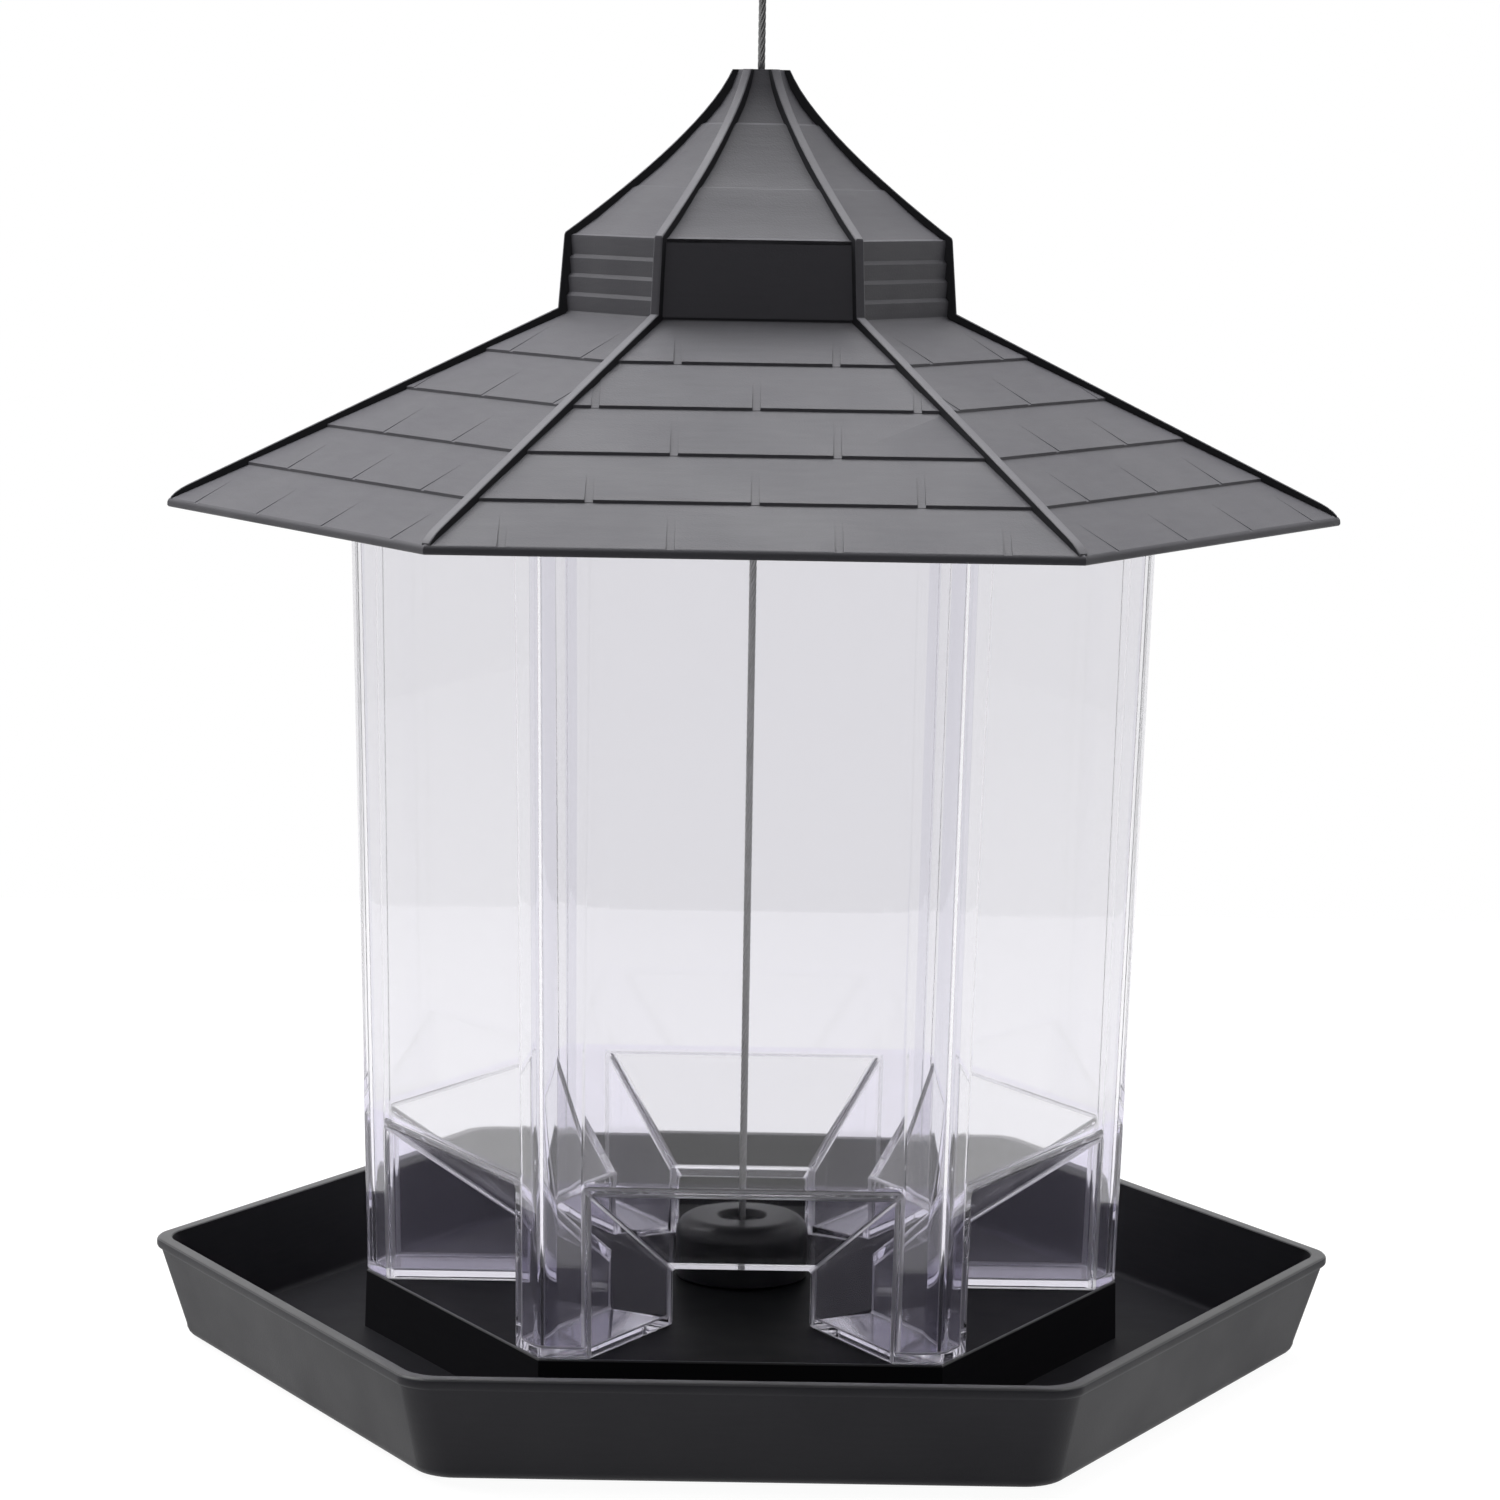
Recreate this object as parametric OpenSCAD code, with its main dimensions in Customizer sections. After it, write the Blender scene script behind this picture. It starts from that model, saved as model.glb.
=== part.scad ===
// Hanging hexagonal seed feeder, in millimetres. The tray stands on z = 0 and the cable runs up Z.
// Every hexagon has corners on +X and -X, and flat sides to the front and back.

/* [Tray] */
// Radius of the tray's rim at its corners
tray_r = 121; // [105:0.2:150]
// Height of the tray
tray_h = 20.5; // [18:0.5:30]
// How much the tray's wall draws in from the rim to the base
tray_draft = 5.2; // [2:0.1:8]
// Thickness of the tray's walls and floor
tray_wall = 2; // [1.5:0.1:3]
// Rounding of the tray's upright corners
tray_corner_r = 7; // [3:0.5:9]
// Rounding of the tray's bottom edge
tray_edge_r = 2.5; // [1:0.1:4]
// Height of the lip along the rim
lip_h = 2.2; // [2:0.1:5]
// How far the lip stands out from the wall
lip_out = 0.9; // [0.6:0.1:2]
// Height of the raised centre that the hopper stands on
plateau_h = 14; // [10:0.5:16]
// Width of the ledge left outside the hopper's foot
plateau_ledge = 0; // [0:0.1:2]
// How much the raised centre widens towards the trough's floor
plateau_draft = 0.3; // [0.2:0.1:3]
// Rounding of the raised centre's upright corners
plateau_corner_r = 1; // [0.5:0.5:4]

/* [Lock] */
// Radius of the post that the knob locks on
post_r = 8; // [6:0.5:10]
// Height of the post above the raised centre
post_h = 8; // [8:0.5:12]
// How far the post's two lugs stand out
lug_out = 2; // [1.5:0.1:2.5]
// Height of a lug
lug_h = 2.5; // [2:0.1:3]
// Height of the lugs' undersides above the raised centre
lug_lift = 3; // [2:0.1:4]
// Angle that a lug takes up
lug_angle = 26; // [16:1:34]
// Quarter turn that frees the knob
lock_turn = 90; // [60:5:100]
// Radius of the knob
knob_r = 13.5; // [13.5:0.5:18]
// Thickness of the knob's top
knob_roof = 4; // [4:0.1:8]
// Rounding of the knob's top edge
knob_round = 3.5; // [1:0.5:4]
// Radius of the dish in the knob's top
dish_r = 5; // [3:0.5:6]
// Depth of that dish
dish_depth = 1.6; // [0.5:0.1:2]

/* [Hopper] */
// Radius of the hopper at the corners of its foot
foot_r = 76.8; // [65:0.2:90]
// Radius of the hopper at the corners of its mouth
mouth_r = 81.4; // [70:0.2:95]
// Height of the hopper
hopper_h = 171; // [110:1:240]
// Thickness of the hopper's walls
hopper_wall = 2; // [1.4:0.1:2.6]
// Thickness of the legs' floors
leg_floor = 1.6; // [1:0.1:3]
// Width of a corner leg
leg_w = 17; // [11:0.2:20]
// Height of the feeding ports above the foot
port_h = 32; // [24:1:45]
// Height of the gap that lets the seed out
throat_h = 11; // [7:0.5:16]
// Distance of the sloped port roofs' inner edges from the axis
throat_a = 40; // [32:0.5:48]
// Distance of the legs' inner ends from the axis
leg_end_a = 42; // [34:0.5:52]

/* [Roof] */
// Radius of the eave at its corners
eave_r = 117.6; // [105:0.2:140]
// Slope of the hips, in degrees
hip_slope = 26.3; // [18:0.1:34]
// Thickness of the roof
roof_wall = 2; // [1.5:0.1:3]
// Number of shingle courses
courses = 5; // [3:1:8]
// Step from one course to the next
course_step = 0.6; // [0.3:0.1:1]
// Radius of the lantern's foot at its corners
lantern_r = 38.8; // [30:0.2:50]
// Height of the lantern
lantern_h = 15; // [10:0.5:25]
// How much the lantern draws in towards its top
lantern_draft = 1.1; // [0:0.1:3]
// Number of louvre slats on the lantern
slats = 4; // [2:1:6]
// How far each slat's upper edge stands out
slat_step = 0.35; // [0.2:0.05:0.8]
// Height of the spire
spire_h = 33; // [20:0.5:50]
// Radius of the spire's flat tip at its corners
tip_r = 5; // [4.5:0.1:8]
// How hollow the spire's sweep is, where 1 is straight
spire_sweep = 1.35; // [1.1:0.05:1.6]
// Where the spire's first tier ends, as a share of the spire's height
first_tier = 0.29; // [0.2:0.01:0.45]
// Where its second tier ends
second_tier = 0.67; // [0.55:0.01:0.8]
// How far each tier's upper edge stands out
tier_step = 0.5; // [0.2:0.1:0.8]
// Thickness of the spire, measured level
spire_wall = 3.4; // [3:0.1:4.5]
// Height of the solid tip that the cable runs through
tip_h = 7; // [5:0.5:10]
// Width of the hip ribs
rib_w = 2; // [1.6:0.1:4]
// Height of the hip ribs
rib_h = 1.2; // [0.6:0.1:2]
// Depth of the skirt that centres the roof in the hopper's mouth
skirt_drop = 5; // [3:0.5:10]
// Thickness of that skirt
skirt_wall = 1.6; // [1.2:0.1:2.5]
// Width of the seat outside the hopper's mouth
seat_margin = 2; // [1:0.5:4]
// Thickness of the seat at its outer edge
seat_pad = 1; // [0.6:0.1:2]

/* [Cable] */
// Diameter of the steel cable
cable_d = 1.5; // [1:0.1:1.7]
// Wall of the crimped sleeves
sleeve_wall = 1.1; // [0.8:0.1:1.6]
// Length of the eye's sleeve
eye_sleeve_h = 10; // [8:0.5:10]
// Length of the stop's sleeve
stop_sleeve_h = 5; // [4:0.5:6]
// Radius of the stop's sleeve
stop_r = 2.6; // [2.2:0.1:3]
// How much smaller the washer's radius is than the post's
washer_inset = 1.5; // [0.5:0.1:2.5]
// Thickness of that washer
washer_t = 1; // [0.8:0.1:1.5]

/* [Clearances] */
// Running clearance around the post and between the knob and the tray
run_gap = 0.3; // [0.2:0.05:0.5]
// Clearance of the crimped sleeves around the cable
crimp_gap = 0.05; // [0.02:0.01:0.1]
// Clearance of the cable in the holes it slides through
cable_gap = 0.6; // [0.3:0.05:1]
// Clearance of the skirt in the hopper's mouth
skirt_gap = 0.6; // [0.3:0.1:1]
// Clearance between the washer and the knob's ceiling
washer_gap = 0.1; // [0.05:0.05:0.3]
// Room between the post's top and the washer
washer_room = 0.9; // [0.5:0.1:1.5]
// Play of a lug in the knob's groove, in degrees
groove_play = 4; // [2:1:8]

/* [Hidden] */
$fn = 64;

charcoal = "#4b4a4f";
black = "#1d1c20";
clear_tint = "#dfe1ee80";
steel = "#8d8d8d";
alloy = "#b4b4b6";

over = 1;
sink = 0.8;
arc_steps = 4;
edge_steps = 3;
round_steps = 6;
spire_steps = 3;

// Level measure to the corner for a measure square to a flat side
function to_corner(a) = a / cos(30);
function lerp(a, b, t) = a + (b - a) * t;

base_r = tray_r - lip_out - tray_draft;
wall_top_r = tray_r - lip_out;
plateau_r = foot_r + plateau_ledge;
plateau_foot_r = plateau_r + plateau_draft;
inside_corner_r = tray_corner_r - tray_wall;
centre_hole_r = post_r / 2;
centre_corner_r = centre_hole_r / 4;

foot_z = plateau_h;
mouth_z = foot_z + hopper_h;
hopper_taper = (mouth_r - foot_r) / hopper_h;
function hopper_r(z) = foot_r + (z - foot_z) * hopper_taper;
function hopper_in_r(z) = hopper_r(z) - to_corner(hopper_wall);
lintel_a = hopper_r(foot_z + port_h) * cos(30);
port_slope = (port_h - throat_h) / (lintel_a - throat_a);
port_roof_v = hopper_wall * sqrt(1 + port_slope * port_slope);

knob_z = plateau_h + run_gap;
post_top = plateau_h + post_h;
ceiling_z = post_top + washer_room + washer_t + washer_gap;
knob_top = ceiling_z + knob_roof;
washer_r = post_r - washer_inset;
washer_z = ceiling_z - washer_gap - washer_t;
stop_z = washer_z - stop_sleeve_h;
stop_pocket_r = stop_r + 2 * run_gap;
stop_pocket_z = stop_z - 2 * run_gap;
lug_z = plateau_h + lug_lift;
post_bore_r = post_r + run_gap;
groove_angle = lug_angle + groove_play;

cable_r = cable_d / 2;
crimp_bore_r = cable_r + crimp_gap;
slide_bore_r = cable_r + cable_gap;

slope = tan(hip_slope);
roof_wall_v = roof_wall * sqrt(1 + pow(slope / cos(30), 2));
seat_r = mouth_r + seat_margin;
eave_top = mouth_z + seat_pad + roof_wall_v - (eave_r - seat_r) * slope;
function roof_z(r) = eave_top + (eave_r - r) * slope;
lantern_z = roof_z(lantern_r);
lantern_top_r = lantern_r - lantern_draft;
lantern_top = lantern_z + lantern_h;
tip_z = lantern_top + spire_h;
skirt_r = hopper_in_r(mouth_z - skirt_drop) - skirt_gap;
skirt_in_r = skirt_r - to_corner(skirt_wall);
lantern_in_r = lantern_top_r - to_corner(roof_wall) - slat_step;
function spire_r(t) = tip_r + (lantern_top_r - tip_r) * pow(max(0, 1 - t), spire_sweep);
hollow_t = 1 - tip_h / spire_h;
tier_ends = [0, first_tier, second_tier, 1];

// The cable's route: up the axis, round the hanging eye, and back down beside itself into the eye's sleeve
eye_sleeve_z = 302;
tail_x = 1.8;
route = [
    [0, 18.5], [0, 50], [0, 80], [0, 110], [0, 140], [0, 170], [0, 200], [0, 230], [0, 260], [0, 290],
    [0, 302], [0, 312], [-0.6, 315.5], [-2.4, 318.5], [-4.6, 320.5], [-6.8, 322.5], [-8.5, 325.5],
    [-9.2, 329], [-8.6, 332.4], [-6.8, 335.4], [-4.1, 337.7], [-0.8, 338.8], [2.6, 338.8], [5.9, 337.7],
    [8.6, 335.4], [10.4, 332.4], [11, 329], [10.3, 325.5], [8.6, 322.5], [6.4, 320.5], [4.2, 318.5],
    [2.4, 315.5], [1.8, 312], [1.8, 306], [1.8, 301]
];

// One hexagon with rounded corners, where r is the radius of the sharp corner
function round_hex(r, z, c) = [
    for (side = [0 : 5], k = [0 : arc_steps])
        let (mid = 60 * side, a = mid - 30 + 60 * k / arc_steps, centre = r - to_corner(c))
        [centre * cos(mid) + c * cos(a), centre * sin(mid) + c * sin(a), z]
];

// A ring-shaped solid: a closed outline of [corner radius, height, corner rounding] carried round a hexagon
module hex_ring(outline) {
    count = 6 * (arc_steps + 1);
    turns = len(outline);
    polyhedron(
        [for (p = outline) each round_hex(p[0], p[1], p[2])],
        [for (j = [0 : turns - 1], i = [0 : count - 1])
            let (here = j * count, next = (j + 1) % turns * count, k = (i + 1) % count)
            [here + i, next + i, next + k, here + k]]
    );
}

module hex_frustum(z, r_low, h, r_high) {
    translate([0, 0, z]) cylinder(h = h, r1 = r_low, r2 = r_high, $fn = 6);
}

// A flat outline of [radius, height] points, stood up along the radius at one angle
module radial_slab(points, width, angle) {
    rotate(angle) rotate([90, 0, 0]) linear_extrude(height = width, center = true) polygon(points);
}

module round_bar(r, z, h) {
    translate([0, 0, z]) cylinder(h = h, r = r);
}

module ring_sector(r_in, r_out, z, h, angle, middle) {
    rotate(middle - angle / 2) rotate_extrude(angle = angle) translate([r_in, z]) square([r_out - r_in, h]);
}

module tray() {
    edge = [
        for (k = [0 : edge_steps])
            let (a = 90 * k / edge_steps)
            [base_r - tray_edge_r * (1 - sin(a)), tray_edge_r * (1 - cos(a)), tray_corner_r]
    ];
    rim_in_r = wall_top_r - to_corner(tray_wall);
    floor_in_r = base_r - to_corner(tray_wall);
    rim = [
        [wall_top_r, tray_h - lip_h, tray_corner_r],
        [tray_r, tray_h - lip_h + lip_out / 2, tray_corner_r],
        [tray_r, tray_h - lip_out / 2, tray_corner_r],
        [tray_r - lip_out / 2, tray_h, tray_corner_r],
        [rim_in_r + lip_out / 2, tray_h, tray_corner_r],
        [rim_in_r, tray_h - lip_out / 2, inside_corner_r]
    ];
    trough = [
        [floor_in_r, tray_wall + lip_out, inside_corner_r],
        [floor_in_r - lip_out, tray_wall, inside_corner_r],
        [plateau_foot_r, tray_wall, plateau_corner_r],
        [plateau_r, plateau_h, plateau_corner_r]
    ];
    hollow_r = plateau_r - to_corner(tray_wall);
    underside = [
        [centre_hole_r, plateau_h, centre_corner_r],
        [centre_hole_r, plateau_h - tray_wall, centre_corner_r],
        [hollow_r, plateau_h - tray_wall, plateau_corner_r],
        [hollow_r + plateau_draft, 0, plateau_corner_r]
    ];
    color(charcoal) difference() {
        union() {
            hex_ring(concat(edge, rim, trough, underside));
            round_bar(post_r, plateau_h - tray_wall, post_h + tray_wall);
            for (side = [0, 180])
                ring_sector(post_r - sink, post_r + lug_out, lug_z, lug_h, lug_angle, side);
        }
        round_bar(stop_pocket_r, stop_pocket_z, post_top - stop_pocket_z + over);
    }
}

module lock_knob() {
    corner = [
        for (k = [0 : round_steps])
            let (a = 90 * k / round_steps)
            [knob_r - knob_round * (1 - cos(a)), knob_top - knob_round * (1 - sin(a))]
    ];
    body = concat(
        [[post_bore_r, knob_z], [knob_r, knob_z]],
        corner,
        [[dish_r, knob_top], [slide_bore_r, knob_top - dish_depth], [slide_bore_r, ceiling_z]],
        [[post_bore_r, ceiling_z]]
    );
    groove_r = post_r + lug_out + run_gap;
    groove_h = lug_h + 2 * run_gap;
    entry_h = lug_z - knob_z + over;
    sweep = groove_angle + lock_turn;
    color(black) difference() {
        rotate_extrude() polygon(body);
        for (side = [0, 180]) {
            ring_sector(post_r, groove_r, lug_z - run_gap, groove_h, sweep, side + lock_turn / 2);
            ring_sector(post_r, groove_r, knob_z - over, entry_h, groove_angle, side + lock_turn);
        }
    }
}

// The space in front of one port: a wedge between two legs, under the sloped port roof
module port_wedge(grow, rise) {
    far = 2 * foot_r;
    apex = leg_w - 2 * grow;
    half = (far - apex) * tan(30);
    low = foot_z - over;
    line_z = foot_z + throat_h + rise;
    near_a = throat_a - (throat_h + rise + over) / port_slope;
    intersection() {
        translate([0, 0, low])
            linear_extrude(height = hopper_h)
                polygon([[apex, 0], [far, -half], [far, half]]);
        radial_slab([[near_a, low], [far, low], [far, line_z + (far - throat_a) * port_slope]], 2 * far, 0);
    }
}

module hopper() {
    low = foot_z - over;
    high = mouth_z + over;
    color(clear_tint) difference() {
        union() {
            difference() {
                hex_frustum(foot_z, foot_r, hopper_h, mouth_r);
                hex_frustum(low, hopper_in_r(low), high - low, hopper_in_r(high));
            }
            intersection() {
                hex_frustum(foot_z, foot_r, hopper_h, mouth_r);
                union() {
                    hex_frustum(foot_z, foot_r + over, leg_floor, foot_r + over);
                    for (side = [30 : 60 : 330])
                        rotate(side) port_wedge(hopper_wall, port_roof_v);
                }
            }
        }
        for (side = [30 : 60 : 330])
            rotate(side) port_wedge(0, 0);
        intersection() {
            hex_frustum(low, to_corner(throat_a), port_h, to_corner(throat_a));
            rotate(30) hex_frustum(low, to_corner(leg_end_a), port_h, to_corner(leg_end_a));
        }
    }
}

module roof() {
    slope_run = (eave_r - lantern_r) / courses;
    shingles = [
        for (k = [0 : courses - 1], up = [0, 1])
            let (r = eave_r - (k + up) * slope_run)
            [r, roof_z(r) - up * course_step]
    ];
    louvres = [
        for (k = [0 : slats - 1], up = [0, 1])
            let (t = (k + up) / slats)
            [lerp(lantern_r, lantern_top_r, t) - (1 - up) * slat_step, lantern_z + t * lantern_h]
    ];
    spire = [
        for (k = [0 : 2], j = [0 : spire_steps])
            let (up = j / spire_steps, t = lerp(tier_ends[k], tier_ends[k + 1], up))
            [spire_r(t) - tier_step * (1 - up), lantern_top + t * spire_h]
    ];
    spire_inside = [
        for (k = [0 : spire_steps])
            let (t = hollow_t * (1 - k / spire_steps))
            [spire_r(t) - spire_wall, lantern_top + t * spire_h]
    ];
    inside = [
        [lantern_in_r, lantern_top - roof_wall],
        [lantern_in_r, roof_z(lantern_in_r) - roof_wall_v],
        [skirt_in_r, roof_z(skirt_in_r) - roof_wall_v],
        [skirt_in_r, mouth_z - skirt_drop],
        [skirt_r, mouth_z - skirt_drop],
        [skirt_r, mouth_z],
        [seat_r, mouth_z],
        [seat_r, mouth_z + seat_pad],
        [eave_r, eave_top - roof_wall_v]
    ];
    tip = [[0, tip_z], [0, lantern_top + hollow_t * spire_h]];
    color(charcoal) difference() {
        union() {
            rotate_extrude($fn = 6)
                polygon(concat(shingles, louvres, spire, tip, spire_inside, inside));
            front_panel();
            for (corner = [0 : 60 : 300])
                radial_slab(hip_rib(), rib_w, corner);
        }
        round_bar(slide_bore_r, lantern_top, spire_h + rib_h + over);
    }
}

// The lantern's front side is plain, so its louvres are filled up to their edges
module front_panel() {
    foot_out = sink * lantern_draft / lantern_h;
    near = lantern_in_r * cos(30) + sink;
    intersection() {
        hex_frustum(lantern_z - sink, lantern_r + foot_out, lantern_h + sink, lantern_top_r);
        translate([-lantern_r / 2, -lantern_r, lantern_z - sink])
            cube([lantern_r, lantern_r - near, lantern_h + sink]);
    }
}

// Outline of one hip rib, from the eave up over the lantern to the spire's tip, and back inside the wall
function hip_rib() =
    let (
        rise = rib_h / cos(hip_slope),
        end_r = eave_r - 0.4 * rib_w,
        end_z = eave_top - roof_wall_v / 2,
        out = 0.8 * rib_h,
        up = 0.6 * rib_h,
        valley_r = lantern_r + rib_h,
        inside = sink + slat_step,
        step = 1 / (3 * spire_steps),
        last = 1 - step / 2
    )
    concat(
        [[end_r, end_z], [end_r, roof_z(end_r) + rise]],
        [[valley_r, roof_z(valley_r) + rise], [lantern_top_r + rib_h, lantern_top]],
        [for (t = [0 : step : last]) [spire_r(t) + out, lantern_top + t * spire_h + up]],
        [[tip_r + out, tip_z], [tip_r - 2 * sink, tip_z]],
        [for (t = [last : -step : 0]) [spire_r(t) - 2 * sink, lantern_top + t * spire_h - sink]],
        [[lantern_top_r - inside, lantern_top - sink], [lantern_r - inside, lantern_z - sink]],
        [[end_r - 2 * sink, end_z]]
    );

// Direction of the route at one of its points
function heading(i) =
    let (d = route[min(i + 1, len(route) - 1)] - route[max(i - 1, 0)])
    d / norm(d);

module cable() {
    sides = 8;
    rings = len(route);
    points = [
        for (i = [0 : rings - 1], k = [0 : sides - 1])
            let (d = heading(i), a = 360 * k / sides, out = cable_r * cos(a))
            [route[i][0] + d[1] * out, cable_r * sin(a), route[i][1] - d[0] * out]
    ];
    skin = [
        for (i = [0 : rings - 2], k = [0 : sides - 1])
            let (n = (k + 1) % sides)
            [i * sides + k, (i + 1) * sides + k, (i + 1) * sides + n, i * sides + n]
    ];
    low_cap = [for (k = [0 : sides - 1]) k];
    high_cap = [for (k = [sides - 1 : -1 : 0]) (rings - 1) * sides + k];
    color(steel) polyhedron(points, concat(skin, [low_cap, high_cap]));
}

module eye_ferrule() {
    sleeve_r = crimp_bore_r + sleeve_wall;
    color(alloy) difference() {
        union() {
            for (x = [0, tail_x])
                translate([x, 0, 0]) round_bar(sleeve_r, eye_sleeve_z, eye_sleeve_h);
            translate([0, -sleeve_r, eye_sleeve_z]) cube([tail_x, 2 * sleeve_r, eye_sleeve_h]);
        }
        for (x = [0, tail_x])
            translate([x, 0, 0]) round_bar(crimp_bore_r, eye_sleeve_z - over, eye_sleeve_h + 2 * over);
    }
}

module stop_ferrule() {
    color(alloy) difference() {
        round_bar(stop_r, stop_z, stop_sleeve_h);
        round_bar(crimp_bore_r, stop_z - over, stop_sleeve_h + 2 * over);
    }
}

module stop_washer() {
    color(steel) difference() {
        round_bar(washer_r, washer_z, washer_t);
        round_bar(cable_r + 2 * crimp_gap, washer_z - over, washer_t + 2 * over);
    }
}

tray();
hopper();
roof();
lock_knob();
cable();
eye_ferrule();
stop_ferrule();
stop_washer();
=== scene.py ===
import math

import bmesh
import bpy
from mathutils import Matrix, Vector


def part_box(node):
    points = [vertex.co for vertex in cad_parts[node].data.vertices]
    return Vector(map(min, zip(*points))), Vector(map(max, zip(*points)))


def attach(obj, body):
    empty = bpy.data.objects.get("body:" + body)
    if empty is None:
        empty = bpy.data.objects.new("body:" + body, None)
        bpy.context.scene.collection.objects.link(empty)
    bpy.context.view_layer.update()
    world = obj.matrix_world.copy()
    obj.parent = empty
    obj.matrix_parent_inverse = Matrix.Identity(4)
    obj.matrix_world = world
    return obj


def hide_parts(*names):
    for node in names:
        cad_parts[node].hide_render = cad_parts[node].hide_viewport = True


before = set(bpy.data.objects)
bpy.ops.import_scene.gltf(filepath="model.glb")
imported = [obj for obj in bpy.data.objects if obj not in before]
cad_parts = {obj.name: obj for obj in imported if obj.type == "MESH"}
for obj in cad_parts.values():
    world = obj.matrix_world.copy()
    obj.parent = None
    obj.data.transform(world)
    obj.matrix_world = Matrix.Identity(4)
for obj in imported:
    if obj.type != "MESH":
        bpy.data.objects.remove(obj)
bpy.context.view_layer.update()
scene = bpy.context.scene
mm = 0.001
weld = 1e-6
cos30 = math.cos(math.radians(30))
print("frame loaded, nodes:", len(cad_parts))


# Working habits: one active piece, edit mode with nothing picked, picks made by place

def activate(piece):
    if bpy.context.mode != "OBJECT":
        bpy.ops.object.mode_set(mode="OBJECT")
    bpy.ops.object.select_all(action="DESELECT")
    piece.select_set(True)
    bpy.context.view_layer.objects.active = piece


def startEdit(piece):
    activate(piece)
    bpy.ops.object.mode_set(mode="EDIT")
    bpy.ops.mesh.select_all(action="DESELECT")


def endEdit():
    bpy.ops.object.mode_set(mode="OBJECT")


def pick(piece, kind, wanted, among=False):
    lists = {"VERT": "verts", "EDGE": "edges", "FACE": "faces"}
    bpy.ops.mesh.select_mode(type=kind)
    mesh = bmesh.from_edit_mesh(piece.data)
    items = [item for item in getattr(mesh, lists[kind]) if item.select or not among]
    found = [item for item in items if wanted(item)]
    bpy.ops.mesh.select_all(action="DESELECT")
    for item in found:
        item.select_set(True)
    bmesh.update_edit_mesh(piece.data)


def cleanSkin():
    bpy.ops.mesh.select_all(action="SELECT")
    bpy.ops.mesh.remove_doubles(threshold=weld)
    bpy.ops.mesh.dissolve_degenerate(threshold=weld / 10)
    bpy.ops.mesh.select_all(action="SELECT")
    bpy.ops.mesh.normals_make_consistent(inside=False)


def newPiece(name):
    piece = bpy.context.object
    piece.name = name
    piece.data.name = name
    return piece


# Draws a closed outline vertex by vertex, and leaves it picked in edit mode
def drawOutline(name, points):
    bpy.ops.object.select_all(action="DESELECT")
    bpy.ops.mesh.primitive_plane_add(size=mm)
    piece = newPiece(name)
    bpy.ops.object.mode_set(mode="EDIT")
    bpy.ops.mesh.select_mode(type="VERT")
    bpy.ops.mesh.select_all(action="SELECT")
    bpy.ops.mesh.merge(type="CENTER")
    points = [Vector(p) for p in points]
    bpy.ops.transform.translate(value=points[0])
    for before, here in zip(points, points[1:]):
        bpy.ops.mesh.extrude_region_move(TRANSFORM_OT_translate={"value": here - before})
    ends = (points[0], points[-1])
    pick(piece, "VERT", lambda v: min((v.co - e).length for e in ends) < weld / 10)
    bpy.ops.mesh.edge_face_add()
    bpy.ops.mesh.select_all(action="SELECT")
    return piece


def radial(points, angle):
    turned = math.radians(angle)
    return [(r * math.cos(turned), r * math.sin(turned), z) for r, z in points]


# Turns a drawn outline about the feeder's axis
def lathe(name, points, steps):
    piece = drawOutline(name, radial(points, 0))
    bpy.ops.mesh.spin(steps=steps, angle=math.radians(360), center=(0, 0, 0), axis=(0, 0, 1))
    cleanSkin()
    endEdit()
    return piece


def turnedCopies(piece, angles):
    copies = [piece]
    while len(copies) < len(angles):
        activate(piece)
        bpy.ops.object.duplicate()
        copies.append(bpy.context.object)
    for copy, angle in zip(copies, angles):
        copy.data.transform(Matrix.Rotation(math.radians(angle), 4, "Z"))
    return copies


def joinPieces(pieces):
    activate(pieces[0])
    for piece in pieces[1:]:
        piece.select_set(True)
    bpy.ops.object.join()
    return bpy.context.object


def applyLast(piece):
    activate(piece)
    bpy.ops.object.modifier_apply(modifier=piece.modifiers[-1].name)


# Without the clamp, one tiny edge can't shrink every other rounding
def roundEdges(piece, width, segments, angle, material=-1, clamp=True):
    edge = piece.modifiers.new("edge", "BEVEL")
    edge.width = width
    edge.segments = segments
    edge.limit_method = "ANGLE"
    edge.angle_limit = math.radians(angle)
    edge.miter_outer = "MITER_ARC"
    edge.material = material
    edge.use_clamp_overlap = clamp
    applyLast(piece)


def combine(piece, other, operation):
    step = piece.modifiers.new("cut", "BOOLEAN")
    step.operation = operation
    step.object = other
    step.solver = "EXACT"
    applyLast(piece)
    bpy.data.objects.remove(other)


def drillBore(piece, radius, z, depth, x=0):
    bpy.ops.object.select_all(action="DESELECT")
    bpy.ops.mesh.primitive_cylinder_add(vertices=32, radius=radius, depth=depth, location=(x, 0, z))
    combine(piece, bpy.context.object, "DIFFERENCE")


# Smooth shading that leaves the large faces flat
def smooth(piece, angle):
    activate(piece)
    bpy.ops.object.shade_smooth_by_angle(angle=math.radians(angle))
    even = piece.modifiers.new("even", "WEIGHTED_NORMAL")
    even.weight = 80
    even.keep_sharp = True
    applyLast(piece)


def wear(piece, *materials):
    piece.data.materials.clear()
    for material in materials:
        piece.data.materials.append(material)


# Where a named part stands in a piece's own list of materials
def skinIndex(skins, part):
    return list(skins).index(part)


def finishPiece(piece, body, slot, *nodes):
    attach(piece, body)
    if nodes:
        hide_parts(*nodes)
    print("piece", piece.name, "faces", len(piece.data.polygons))


def arc(centre, radius, first, last, steps):
    angles = [math.radians(first + (last - first) * k / steps) for k in range(steps + 1)]
    return [(centre[0] + radius * math.cos(a), centre[1] + radius * math.sin(a)) for a in angles]


# Materials. Patterns read object coordinates, which are metres in the feeder's own frame

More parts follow.
